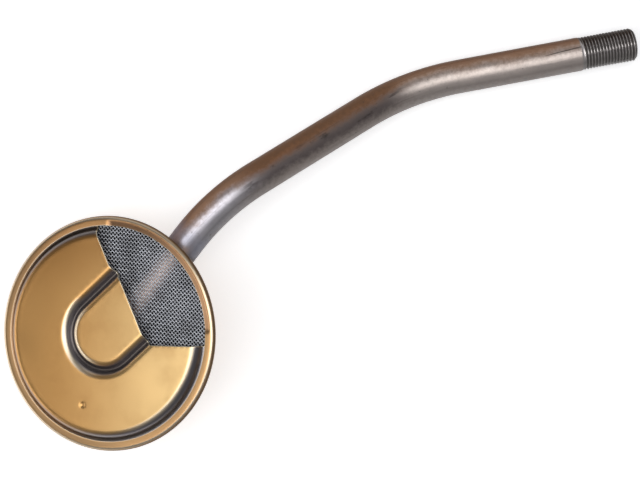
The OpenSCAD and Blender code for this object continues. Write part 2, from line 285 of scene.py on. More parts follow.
def layout(s):
    """Where the strainer and the tube's corners lie, worked out as in the CAD part."""
    t, c = s.tube, s.cup
    fillet = c.bottom_fillet - c.cup_t / 2
    bottom = c.cup_t / 2 - c.cup_depth
    centre_r = c.bottom_r - fillet * tan(c.side_slope / 2)
    rise = centre_r * sin(c.lean) - (bottom + fillet) * cos(c.lean) + c.bottom_fillet
    n = np.array([*(sin(c.lean) * heading(c.lean_heading)), cos(c.lean)])
    x = np.array([*(-cos(c.lean) * heading(c.lean_heading)), sin(c.lean)])
    y = np.cross(n, x)
    out = cos(c.tube_azimuth) * x + sin(c.tube_azimuth) * y
    lower_z = rise - t.outer_r + t.reach * out[2] - c.tube_depth * n[2]
    plan = sqrt(t.middle_len**2 - lower_z**2)
    end = np.array([t.end_chamfer, 0, 0])
    upper = end - [t.outlet_len, 0, 0]
    lower = upper + [-plan * cos(t.upper_turn), -plan * sin(t.upper_turn), lower_z]
    return SimpleNamespace(
        axes=np.array([x, y, n]),
        centre=lower - t.reach * out + c.tube_depth * n,
        out=out,
        corners=[end, upper, lower, lower - (t.reach - t.mouth_r) * out],
        bends=[t.upper_bend_r, t.lower_bend_r],
        floor_z=-t.outer_r,
    )


def into_part(points, lay):
    """Points of the strainer's frame in the part's frame: centre + x X + y Y + z N."""
    return np.asarray(points).reshape(-1, 3) @ lay.axes + lay.centre


def route(at, lay):
    """Centre and two cross-section axes of the tube at lengths from the threaded end, and its whole length.

    Straight stretches p + l t join bends p + R (s - s turned by l / R), where s points to the bend's centre.
    The cross-section axes turn with the bend.
    """
    p, u, begin = lay.corners[0], np.array([0.0, 0.0, 1.0]), 0.0
    centre, ahead, side_u = (np.zeros((len(at), 3)) for _ in range(3))
    for i in range(3):
        t = unit(lay.corners[i + 1] - lay.corners[i])
        bent = i < 2
        following = unit(lay.corners[i + 2] - lay.corners[i + 1]) if bent else t
        turn = acos(np.clip(t @ following, -1, 1)) if bent else 0.0
        take = lay.bends[i] * tan(turn / 2) if bent else 0.0
        stretch = (lay.corners[i + 1] - p) @ t - take
        on = at >= begin
        centre[on] = p + (at[on] - begin)[:, None] * t
        ahead[on] = t
        side_u[on] = u
        p, begin = p + stretch * t, begin + stretch
        if not bent:
            break
        r = lay.bends[i]
        axis = unit(np.cross(t, following))
        s = np.cross(axis, t)
        on = at >= begin
        w = np.minimum((at[on] - begin) / r, turn)[:, None]
        centre[on] = p + r * (s - turned(s, axis, w))
        ahead[on] = turned(t, axis, w)
        side_u[on] = turned(u, axis, w)
        p = p + r * (s - turned(s, axis, turn))
        u = turned(u, axis, turn)
        begin += r * turn
    return centre, side_u, np.cross(ahead, side_u), begin


def tube_length(lay):
    """Length of the tube's centre line, bends included."""
    return route(np.zeros(1), lay)[-1]


def grid_faces(rows, cols, wrap_rows=False, wrap_cols=False):
    """Quads of a grid whose point (i, j) has number i cols + j."""
    i = np.arange(rows if wrap_rows else rows - 1)
    j = np.arange(cols if wrap_cols else cols - 1)
    i, j = (a.ravel() for a in np.meshgrid(i, j, indexing="ij"))
    k, m = (i + 1) % rows, (j + 1) % cols
    return np.column_stack([i * cols + j, k * cols + j, k * cols + m, i * cols + m])


def sheet_outline(path, thick):
    """Closed section of sheet along paths (..., points, 2), moved by half the thickness to both sides."""
    d = unit(np.diff(path, axis=-2))
    before = np.concatenate([d[..., :1, :], d], axis=-2)
    after = np.concatenate([d, d[..., -1:, :]], axis=-2)
    m = unit(before + after)
    m /= np.sum(m * after, axis=-1, keepdims=True)
    off = np.stack([-m[..., 1], m[..., 0]], axis=-1) * thick / 2
    return np.concatenate([path + off, (path - off)[..., ::-1, :]], axis=-2)


def filled(loop, extra):
    """Triangles that fill a closed flat loop, through the extra points inside it."""
    points = np.concatenate([loop, extra]) / MM
    edges = [(i, (i + 1) % len(loop)) for i in range(len(loop))]
    found = delaunay_2d_cdt(points.tolist(), edges, [], 1, 1e-5)
    return np.array([tuple(v) for v in found[0]]) * MM, [tuple(f) for f in found[2]]


def inside(points, loop):
    """Which points lie inside a closed loop: a ray from each crosses its edges an odd number of times."""
    x, y = points[:, :1], points[:, 1:]
    a, b = loop, np.roll(loop, -1, axis=0)
    over = (a[:, 1] > y) != (b[:, 1] > y)
    slope = (b[:, 0] - a[:, 0]) / np.where(b[:, 1] == a[:, 1], 1, b[:, 1] - a[:, 1])
    return np.sum(over & (x < a[:, 0] + (y - a[:, 1]) * slope), axis=1) % 2 == 1


def clear_of(points, loop, gap):
    """Points that keep a distance from every point of a loop."""
    away = norm(points[:, None, :] - loop[None], axis=2).min(axis=1)
    return points[away > gap]


def smooth(mesh, sharp):
    """Shades a mesh smooth, but for edges sharper than an angle in degrees."""
    mesh.polygons.foreach_set("use_smooth", np.ones(len(mesh.polygons), dtype=bool))
    mesh.set_sharp_from_angle(angle=radians(sharp))


def piece(name, points, faces, materials, sharp=35, merge=False, closed=True, uv=None, choice=None,
          marks=None):
    """A mesh object from points and faces, smooth but for sharp edges.

    Closed meshes that are merged get their faces turned outwards. Marks are named values at the points, which
    the finishes read.
    """
    mesh = bpy.data.meshes.new(name)
    mesh.from_pydata(np.asarray(points).tolist(), [], faces if isinstance(faces, list) else faces.tolist())
    if uv is not None:
        mesh.uv_layers.new(name="surface").data.foreach_set("uv", np.asarray(uv, dtype=np.float32).ravel())
    if choice is not None:
        mesh.polygons.foreach_set("material_index", np.asarray(choice, dtype=np.int32))
    for key, values in (marks or {}).items():
        mark = mesh.attributes.new(key, "FLOAT", "POINT")
        mark.data.foreach_set("value", np.ravel(values).astype(np.float32))
    if merge:
        work = bmesh.new()
        work.from_mesh(mesh)
        bmesh.ops.remove_doubles(work, verts=work.verts, dist=WELD)
        bmesh.ops.dissolve_degenerate(work, edges=work.edges, dist=SLIVER)
        if closed:
            bmesh.ops.recalc_face_normals(work, faces=work.faces)
        work.to_mesh(mesh)
        work.free()
    smooth(mesh, sharp)
    for m in materials:
        mesh.materials.append(m)
    mesh.update()
    obj = bpy.data.objects.new(name, mesh)
    bpy.context.scene.collection.objects.link(obj)
    return obj


def modify(obj, kind, **options):
    """Adds a modifier to a piece."""
    assign(obj.modifiers.new(kind, kind), **options)


def applied(obj, sharp):
    """Puts what a piece's modifiers make into its mesh."""
    made = bpy.data.meshes.new_from_object(obj.evaluated_get(bpy.context.evaluated_depsgraph_get()))
    obj.modifiers.clear()
    obj.data = made
    smooth(made, sharp)


def fitted(obj, node):
    """Ties a finished piece to the frame, and stops if it stands outside the solid that it stands for."""
    low, high = (np.array(v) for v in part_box(node))
    points = np.empty(3 * len(obj.data.vertices))
    obj.data.vertices.foreach_get("co", points)
    points = points.reshape(-1, 3)
    over = max(np.max(low - points.min(axis=0)), np.max(points.max(axis=0) - high))
    if over > SPARE:
        raise RuntimeError(f"{obj.name} stands {over / MM:.2f} mm outside {node}")
    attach(obj, "root")
    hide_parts(node)


# Materials


class Finish:
    """A material that is put together node by node around one shader."""

    def __init__(self, name, metallic=1.0, roughness=0.35):
        self.material = bpy.data.materials.new(name)
        self.material.use_nodes = True
        self.tree = self.material.node_tree
        self.shader = self.tree.nodes["Principled BSDF"]
        self.shader.inputs["Metallic"].default_value = metallic
        self.shader.inputs["Roughness"].default_value = roughness
        self.coords = self.tree.nodes.new("ShaderNodeTexCoord")

    def put(self, socket, value):
        """Links another socket to a socket, or sets it to a constant."""
        if isinstance(value, bpy.types.NodeSocket):
            self.tree.links.new(value, socket)
        else:
            socket.default_value = (*value, 1) if socket.type == "RGBA" else value

    def shade(self, key, value):
        """Puts a value into one of the shader's inputs."""
        self.put(self.shader.inputs[key], value)

    def node(self, kind, output, inputs, **options):
        """Adds a node with its options and inputs, and gives one of its outputs."""
        node = assign(self.tree.nodes.new("ShaderNode" + kind), **options)
        for key, value in inputs.items():
            self.put(node.inputs[key], value)
        return node.outputs[output]

    def noise(self, where, scale, detail=2.0, rough=0.5):
        inputs = {"Vector": where, "Scale": scale, "Detail": detail, "Roughness": rough}
        return self.node("TexNoise", "Fac", inputs)

    def stretched(self, where, scale):
        return self.node("Mapping", "Vector", {"Vector": where, "Scale": scale})

    def range(self, value, low, high, to_low=0.0, to_high=1.0):
        inputs = {"Value": value, "From Min": low, "From Max": high, "To Min": to_low, "To Max": to_high}
        return self.node("MapRange", "Result", inputs, interpolation_type="SMOOTHSTEP")

    def math(self, kind, a, b):
        return self.node("Math", "Value", {0: a, 1: b}, operation=kind)

    def plus(self, a, b):
        return self.math("ADD", a, b)

    def minus(self, a, b):
        return self.math("SUBTRACT", a, b)

    def times(self, a, b):
        return self.math("MULTIPLY", a, b)

    def mark(self, name):
        """The value of a piece's named mark."""
        return self.node("Attribute", "Fac", {}, attribute_name=name)

    def dot(self, where, direction):
        return self.node("VectorMath", "Value", {0: where, 1: direction}, operation="DOT_PRODUCT")

    def axis(self, where, name):
        return self.node("SeparateXYZ", name, {0: where})

    def mix(self, amount, a, b):
        """One colour mixed into another by an amount."""
        return self.node("Mix", 2, {"Factor": amount, 6: a, 7: b}, data_type="RGBA")

    def bump(self, height, distance):
        inputs = {"Strength": 1.0, "Distance": distance, "Height": height}
        self.shade("Normal", self.node("Bump", "Normal", inputs))

    def done(self, base, roughness=None):
        """The finished material."""
        self.shade("Base Color", base)
        if roughness is not None:
            self.shade("Roughness", roughness)
        return self.material


def tinted(rgb, factors):
    """A colour with each channel multiplied by its own factor."""
    return [v * k for v, k in zip(rgb, factors)]


def tube_finish(s, lay):
    """Satin tube: brown stain on one side, grey scale on the other and a painted highlight along the top
    between them, with painted shade on the middle stretch, draw lines, pits and a scratch, a blue tint by the
    braze and a dark thread."""
    t = s.tube
    f = Finish("Drawn steel tube")
    uv, flat, normal = (f.coords.outputs[key] for key in ("UV", "Object", "Normal"))
    along, around = f.axis(uv, "X"), f.axis(uv, "Y")
    exit_at = tube_length(lay) - (EXIT_R - t.mouth_r)

    # Where the stain, the painted shade of the middle stretch and the painted highlight along the top lie
    cloud = f.noise(flat, 45, 3.0, 0.55)
    grain = f.minus(f.noise(flat, 480, 4.0, 0.7), 0.5)
    drift = f.plus(f.times(f.minus(cloud, 0.5), 0.6), f.times(grain, 0.45))
    side = f.plus(f.dot(normal, STAINED_SIDE), drift)
    # Painted shade on the sloping middle stretch: it darkens the colour there and dims the painted highlight
    shaded_middle = f.times(f.range(along, *SHADE_FROM), f.range(along, *SHADE_TO, 1, 0))
    stain = f.range(f.plus(side, f.times(shaded_middle, 0.24)), 0.03, 0.72)
    # Painted highlight: lighter and more metallic steel on the side that faces up
    top = f.plus(f.dot(normal, GLINT_SIDE), f.times(drift, 0.3))
    glinting = f.times(f.range(top, 0.62, 0.97), f.range(shaded_middle, 0, 1, 1, 0.2))

    # Stain, scale and the steel of the painted highlight, which also makes the brown lighter along the top
    mottled = f.range(f.noise(flat, 70, 3.0), 0.3, 0.7)
    brown = f.mix(mottled, t.tan, tinted(t.tan, (0.8, 0.88, 0.92)))
    # Painted shade: the brown grows darker towards the edge of the stained side
    brown = f.mix(f.range(side, 0.2, 0.72, 0, 0.85), brown, tinted(t.tan, (0.46, 0.45, 0.38)))
    brown = f.mix(glinting, brown, tinted(t.tan, (1.15, 1.5, 2.0)))
    grey = f.mix(f.range(along, exit_at - 0.06, exit_at - 0.01, 0, 0.7), t.scale, COOL_SCALE)
    silver = f.mix(f.range(along, exit_at - 0.075, exit_at - 0.04), t.steel, COOL_STEEL)
    base = f.mix(stain, f.mix(glinting, grey, silver), brown)

    # Painted shade on the middle stretch, darker in a band below the stain, and smears there
    base = f.mix(f.times(shaded_middle, 0.2), base, SHADE_BROWN)
    band = f.times(f.range(side, -0.7, -0.2), f.range(side, -0.1, 0.5, 1, 0))
    base = f.mix(f.times(f.times(shaded_middle, band), 0.8), base, SHADE_BLACK)
    smear = f.range(f.noise(f.stretched(uv, (70, 26, 1)), 1.0, 4.0, 0.6), 0.54, 0.66)
    smear = f.times(f.times(smear, shaded_middle), f.range(side, 0.15, 0.5, 0.8, 0))
    base = f.mix(f.times(smear, f.range(side, -0.35, -0.1)), base, SMEARED)

    # Draw lines, pits, the scratch and grain
    lines = f.noise(f.stretched(uv, (14, 60, 1)), 1.0, 3.0, 0.6)
    base = f.mix(f.range(lines, 0.56, 0.74, 0, 0.4), base, t.pits)
    pits = f.noise(f.stretched(uv, (260, 40, 1)), 1.0, 2.0)
    base = f.mix(f.range(pits, 0.7, 0.79, 0, 0.7), base, t.pits)
    middle = f.plus(f.times(along, -SCRATCH_SLOPE), SCRATCH_AT + SCRATCH_SLOPE * t.thread_len)
    off = f.math("ABSOLUTE", f.minus(around, middle), 0)
    scratch = f.times(f.range(off, 0.001, 0.0035, 0.85, 0), f.range(along, 0.04, 0.047, 1, 0))
    base = f.mix(scratch, base, t.pits)
    base = f.mix(f.range(grain, -0.15, 0.2, 0, 0.2), base, t.pits)

    # Heat tint, the stretch inside the cup with painted shade and a painted highlight, and the thread with a
    # painted highlight and painted shade in its roots
    base = f.mix(f.range(along, exit_at - 0.012, exit_at - 0.003, 0, 0.4), base, HEAT_BLUE)
    # Inside the cup the tube gets painted shade at its sides and a painted highlight along its top
    within = f.mix(f.range(glinting, 0.4, 1.0), WITHIN_SHADE, WITHIN_HIGHLIGHT)
    base = f.mix(f.range(along, exit_at + 0.001, exit_at + 0.004), base, within)
    # Thread: a painted highlight along its top, the stain on its upper side and painted shade in its roots
    thread = f.mix(glinting, t.thread, THREAD_HIGHLIGHT)
    thread = f.mix(f.range(side, 0.22, 0.75), thread, tinted(t.thread, (0.28, 0.2, 0.15)))
    thread = f.mix(f.range(f.mark("crest"), 0.15, 0.85, 0.6, 0), thread, ROOT_SHADE)
    base = f.mix(f.range(along, t.thread_len - 0.0006, t.thread_len + 0.0004, 1, 0), base, thread)

    shiny = f.times(glinting, f.range(stain, 0.2, 1, 1, 0.25))
    f.shade("Metallic", f.range(shiny, 0, 1, 0.2, 0.95))
    f.shade("Specular IOR Level", f.range(stain, 0, 1, 0.5, 0.12))
    f.bump(f.noise(f.stretched(uv, (30, 120, 1)), 1.0, 2.0), 0.00004)
    return f.done(base, f.range(cloud, 0.3, 0.7, 0.4, 0.5))


def gold_finish(name, rgb, lit_gold, lay):
    """Satin gold: painted highlight on the right, painted shade at the top, mottling and the piece's marks.
    """
    f = Finish(name)
    flat = f.coords.outputs["Object"]
    cloud = f.noise(flat, 38, 4.0, 0.6)
    right, up = lay.axes[0], lay.axes[1]
    middle, level = lay.centre @ right, lay.centre @ up
    shade_and_mottle = tinted(rgb, (0.7, 0.62, 0.55))
    # Painted highlight: the gold grows lighter towards the right
    base = f.mix(f.range(f.dot(flat, right), middle - 0.03, middle + 0.036), rgb, lit_gold)
    # Painted shade: the gold grows darker towards the top; the same darker gold gives the random mottling
    # below
    base = f.mix(f.range(f.dot(flat, up), level + 0.01, level + 0.045, 0, 0.7), base, shade_and_mottle)
    base = f.mix(f.range(cloud, 0.45, 0.75, 0, 0.3), base, shade_and_mottle)
    for mark, tone in GOLD_MARKS.items():
        base = f.mix(f.mark(mark), base, tone)
    # Painted shade on the roll's outer face, which is also made matt
    rim_shade = f.mark("rim_shade")
    f.shade("Metallic", f.range(rim_shade, 0, 1, 1, 0.1))
    f.shade("Specular IOR Level", f.range(rim_shade, 0, 1, 0.5, 0.05))
    return f.done(base, f.range(cloud, 0.3, 0.7, 0.29, 0.36))


def plain_metal(name, rgb, roughness=0.3):
    """Metal of one colour with faint mottling."""
    f = Finish(name, roughness=roughness)
    cloud = f.noise(f.coords.outputs["Object"], 120, 2.0)
    return f.done(f.mix(f.range(cloud, 0.35, 0.7), rgb, [0.7 * v for v in rgb]))


# Pieces


class PICKUP_OT_tube(bpy.types.Operator):
    """Build the bent tube with its bore and its threaded end"""

    bl_idname = "pickup.tube"
    bl_label = "Tube"

    def execute(self, context):
        """Radius over length and angle: plain tube, less a 60 degree thread whose groove lies where l / pitch
        equals the turn, under the cone of the end chamfer. Rows run out along the skin and back along the
        bore."""
        s = settings()
        t, lay = s.tube, layout(s)
        total = tube_length(lay)
        sides, rows_per_pitch, rows_out, rows_back = 96, 14, 160, 90
        root_flat, groove_width, step = 0.08, 0.86, 0.0004
        threaded = np.arange(0, t.thread_len + 0.001, t.pitch / rows_per_pitch)
        out = np.concatenate([threaded, np.linspace(t.thread_len + 0.0012, total, rows_out)])
        back = np.linspace(total, 0, rows_back)
        turn = circle(sides)
        at, w = np.meshgrid(out, turn, indexing="ij")
        phase = np.abs((at / t.pitch - w / (2 * pi)) % 1 - 0.5) * 2
        fade = 1 - smoothstep((at - t.thread_len + 1.6 * t.pitch) / (1.4 * t.pitch))
        cut = np.clip(1 - np.maximum(phase, root_flat) / groove_width, 0, 1)
        groove = t.thread_depth * cut / (1 - root_flat / groove_width)
        skin = t.crest_r + (t.outer_r - t.crest_r) * smoothstep((at - t.thread_len + step) / step)
        chamfer = t.crest_r - t.end_chamfer + at + np.where(at > t.thread_len, 1, 0)
        r = np.minimum(skin - groove * fade, chamfer)
        r = np.concatenate([r, np.full((rows_back, sides), t.bore_r)])
        rows = np.concatenate([out, back])
        c, u, v, _ = route(rows, lay)
        ring = np.cos(turn)[None, :, None] * u[:, None] + np.sin(turn)[None, :, None] * v[:, None]
        points = c[:, None] + r[..., None] * ring
        faces = grid_faces(len(rows), sides, True, True)
        i, j = faces // sides, faces % sides
        j = np.where((j == 0) & (j.max(axis=1, keepdims=True) == sides - 1), sides, j)
        uv = np.stack([rows[i], j * 2 * pi * t.outer_r / sides * UV_AROUND], axis=-1)
        crest = np.concatenate([1 - groove * fade / t.thread_depth, np.ones((rows_back, sides))])
        obj = piece("tube_drawn", points.reshape(-1, 3), faces[:, ::-1], [tube_finish(s, lay)], 30,
                    uv=uv[:, ::-1], marks={"crest": crest})
        fitted(obj, "pickup_tube")
        return {"FINISHED"}


class PICKUP_OT_cup(bpy.types.Operator):
    """Build the pressed cup with its rolled rim and the hole for the tube"""

    bl_idname = "pickup.cup"
    bl_label = "Strainer cup"

    def execute(self, context):
        """A sheet section turned about the strainer's axis: bottom, fillet, sloped side, fillet, flange,
        half-round roll and lip, whose height changes with the angle where no plate lies under it."""
        s = settings()
        c, p, lay = s.cup, s.plate, layout(s)
        turn, lip_step, sharp = circle(360), radians(2.2), 40
        bottom = c.cup_t / 2 - c.cup_depth
        flange = -p.thick - s.screen.thick - c.cup_t / 2
        fillet, upper = c.bottom_fillet - c.cup_t / 2, c.flange_fillet + c.cup_t / 2
        corner_r = c.bottom_r + (flange - bottom) / tan(c.side_slope)
        near = c.bottom_r - fillet * tan(c.side_slope / 2)
        far = corner_r + upper * tan(c.side_slope / 2)
        seat = (c.lip_in + p.clamped_r) / 2
        low_from = p.lip_lap - np.arcsin(p.lower_cut / seat)
        low_to = p.cut_azimuth + acos(p.cut_dist / seat) - p.lip_lap
        past = (turn - low_from + pi) % (2 * pi) - pi
        before = (low_to - turn + pi) % (2 * pi) - pi
        low = smoothstep(past / lip_step + 0.5) * smoothstep(before / lip_step + 0.5)
        high = c.cup_t / 2
        lip = high - p.thick * low
        dish = np.concatenate([
            [[0, bottom]],
            arc(near, bottom + fillet, fillet, -pi / 2, c.side_slope - pi / 2, 9),
            arc(far, flange - upper, upper, pi / 2 + c.side_slope, pi / 2, 7),
        ])
        roll = (high - flange) / 2
        roll_r = c.rim_r - c.cup_t / 2 - roll
        inner = np.concatenate([dish, arc(roll_r, flange + roll, roll, -pi / 2, pi / 2, 15)])
        across = np.linspace(0, 1, 9)[1:]
        lip_path = np.stack([
            np.repeat((roll_r + (c.lip_in - roll_r) * across)[None], len(turn), 0),
            high + (lip - high)[:, None] * across,
        ], axis=-1)
        path = np.concatenate([np.repeat(inner[None], len(turn), 0), lip_path], axis=1)
        section = sheet_outline(path, c.cup_t)
        crown = slice(path.shape[1], path.shape[1] + len(across))
        inward = np.clip((roll_r - section[:, crown, 0]) / (roll_r - c.lip_in), 0, 1)
        section[:, crown, 1] -= c.lip_fall * inward**1.5 * (1 - low[:, None])
        r, z = section[..., 0], section[..., 1]
        points = np.stack([r * np.cos(turn)[:, None], r * np.sin(turn)[:, None], z], axis=-1)
        faces = grid_faces(len(turn), section.shape[1], True, False)
        highlight, rosy, shaded, rim_shade = (np.zeros(section.shape[:2]) for _ in range(4))
        # Painted highlight at the lip's inner edge and on the upper outer part of the roll
        highlight[:, crown.start - 1:crown.start + 1] = 0.8
        highlight[:, crown.stop + 1:crown.stop + 4] = [0.4, 0.8, 0.4]
        rosy[:, crown] = 0.6 * low[:, None]
        # Painted shade on the lip's top, on the left and where the lip lies low
        on_left = smoothstep(np.cos(turn - radians(200)), -0.1, 0.7)
        shaded[:, crown.start + 2:crown.stop] = 0.42 * on_left[:, None]
        shaded[:, crown.start + 1:crown.stop - 1] += 0.5 * low[:, None]
        # Painted shade on the roll's outer face around its widest point, as a dark line at the rim's edge
        rim_shade[:, crown.stop + 4:crown.stop + 9] = [0.6, 0.9, 0.9, 0.7, 0.3]
        gold = gold_finish("Gold sheet of the cup", c.brass, c.brass, lay)
        # Painted shade: the inside of the cup is nearly black
        dark = plain_metal("Dark inside of the cup", c.inside, 0.5)
        within = faces[:, 0] % section.shape[1] < len(dish) + 2
        obj = piece("cup_pressed", into_part(points, lay), faces, [gold, dark], sharp, merge=True,
                    choice=within, marks={"highlight": highlight, "rosy": rosy, "shaded": shaded, "rim_shade": rim_shade})
        ring = circle(64)
        side = unit(np.cross(lay.out, [0, 0, 1.0]))
        rise = np.cross(side, lay.out)
        hole = np.cos(ring)[:, None] * side + np.sin(ring)[:, None] * rise
        hole = (s.tube.outer_r + HOLE_GAP) * hole
        ends = np.concatenate([lay.corners[3] + hole, lay.corners[2] + hole])
        n = len(ring)
        walls = grid_faces(2, n, False, True).tolist()
        cutter = piece("hole", ends, walls + [list(range(n)), list(range(2 * n - 1, n - 1, -1))], [],
                       merge=True)
        modify(obj, "BOOLEAN", object=cutter, solver="EXACT")
        applied(obj, sharp)
        bpy.data.objects.remove(cutter)
        fitted(obj, "strainer_cup")
        return {"FINISHED"}


class PICKUP_OT_braze(bpy.types.Operator):
    """Build the braze between the tube and the cup"""

    bl_idname = "pickup.braze"
    bl_label = "Braze"

    def execute(self, context):
        """At each angle about the tube, a hollow curve from the tube to the cup's side. The side's radius q
        is straight in height, so it lies sqrt(q^2 - w^2) along the tube at the offset (w, z) about it."""
        s = settings()
        c, lay = s.cup, layout(s)
        turn = circle(96)
        bottom = c.cup_t / 2 - c.cup_depth

        def on_wall(r, off):
            w, z = r * np.cos(turn), r * np.sin(turn) - c.tube_depth
            q = c.bottom_r + c.cup_t / 2 / sin(c.side_slope) + (z - bottom) / tan(c.side_slope) + off
            return np.column_stack([np.sqrt(q * q - w * w), w, z])

        size = c.braze_leg * (0.93 + 0.05 * np.sin(3 * turn + 1) + 0.02 * np.sin(11 * turn))
        skin = s.tube.outer_r + SKIN_GAP
        root = on_wall(skin, WALL_GAP)
        on_tube = root + size[:, None] * [1, 0, 0]
        on_cup = on_wall(skin + size, WALL_GAP)
        k = np.linspace(0, 1, 9)[None, :, None]
        middle = root / 2 + on_tube / 4 + on_cup / 4
        curve = (1 - k) ** 2 * on_tube[:, None] + 2 * k * (1 - k) * middle[:, None] + k**2 * on_cup[:, None]
        section = np.concatenate([root[:, None], curve], axis=1)
        x, y = section[..., 0], section[..., 1]
        a = c.tube_azimuth
        points = np.stack([x * cos(a) - y * sin(a), x * sin(a) + y * cos(a), section[..., 2]], axis=-1)
        faces = grid_faces(len(turn), section.shape[1], True, True)
        metal = plain_metal("Braze metal", c.braze, 0.4)
        obj = piece("braze_ring", into_part(points, lay), faces, [metal], 50, merge=True)
        fitted(obj, "braze_fillet")
        return {"FINISHED"}


class PICKUP_OT_screen(bpy.types.Operator):
    """Build the woven screen"""

    bl_idname = "pickup.screen"
    bl_label = "Screen"

    def execute(self, context):
        """Round wires in two directions. A wire's height is amp cos(pi l / spacing) along its length l, and
        the sign changes from one wire to the next, so each passes over and under the ones that it crosses.
        A plain sheet lies where the plate hides them."""
        s = settings()
        g, p, lay = s.screen, s.plate, layout(s)
        edge_gap, wire_lap = 0.0005, 0.0045
        sheet_gap, sheet_lap, sheet_t = 0.0002, 0.004, 0.0004
        sides, steps, amp = 6, 4, g.wire_d * 0.32
        height = -p.thick - g.thick / 2
        reach = p.clamped_r - edge_gap
        facing = heading(p.cut_azimuth)
        turn = circle(sides)[None, :, None]
        points, faces, count = [], [], 0
        for along, across_pitch, along_pitch, sign in (
            (heading(g.azimuth), g.warp_pitch, g.weft_pitch, 1),
            (heading(g.azimuth + pi / 2), g.weft_pitch, g.warp_pitch, -1),
        ):
            across = np.array([-along[1], along[0]])
            wires, ends = int(reach / across_pitch), int(reach / along_pitch * steps)
            for k in range(-wires, wires + 1):
                at = np.arange(-ends, ends + 1) * along_pitch / steps
                line = at[:, None] * along + k * across_pitch * across * sign
                keep = norm(line, axis=1) < reach
                keep &= (line @ facing > p.cut_dist - wire_lap) & (line[:, 1] > -p.lower_cut - wire_lap)
                if keep.sum() < 3:
                    continue
                at, line = at[keep], line[keep]
                up = sign * amp * np.cos(pi * at / along_pitch + pi * k)
                centre = np.column_stack([line, height + up])
                lean = -sign * amp * pi / along_pitch * np.sin(pi * at / along_pitch + pi * k)
                tilt = unit(np.column_stack([-lean[:, None] * along, np.ones(len(at))]))
                ring = np.cos(turn) * np.array([*across, 0]) + np.sin(turn) * tilt[:, None]
                points.append((centre[:, None] + g.wire_d / 2 * ring).reshape(-1, 3))
                quads = grid_faces(len(at), sides, False, True)[:, ::-1] + count
                faces.extend(quads.tolist())
                faces.append(list(range(count + sides - 1, count - 1, -1)))
                count += sides * len(at)
                faces.append(list(range(count - sides, count)))
        steel = plain_metal("Screen wire", g.wire, 0.5)
        woven = piece("screen_woven", into_part(np.concatenate(points), lay), faces, [steel], 75)
        fitted(woven, "screen")

        cut_x, cut_y = p.cut_dist - sheet_lap, -p.lower_cut - sheet_lap
        edge = arc(0, 0, p.clamped_r - sheet_gap, 0, 2 * pi, 241)[:-1]
        hidden = edge[(edge @ facing < cut_x) | (edge[:, 1] < cut_y)]
        gaps = norm(np.diff(np.concatenate([hidden, hidden[:1]]), axis=0), axis=1)
        hidden = np.roll(hidden, -np.argmax(gaps) - 1, axis=0)
        loop = np.concatenate([hidden, [[(cut_x - cut_y * facing[1]) / facing[0], cut_y]]])
        found, tris = filled(loop, np.zeros((0, 2)))
        top = np.column_stack([found, np.full(len(found), height + sheet_t / 2)])
        sheet = piece("screen_under_plate", into_part(top, lay), tris, [steel])
        modify(sheet, "SOLIDIFY", thickness=sheet_t, offset=-1)
        applied(sheet, 35)
        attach(sheet, "root")
        return {"FINISHED"}


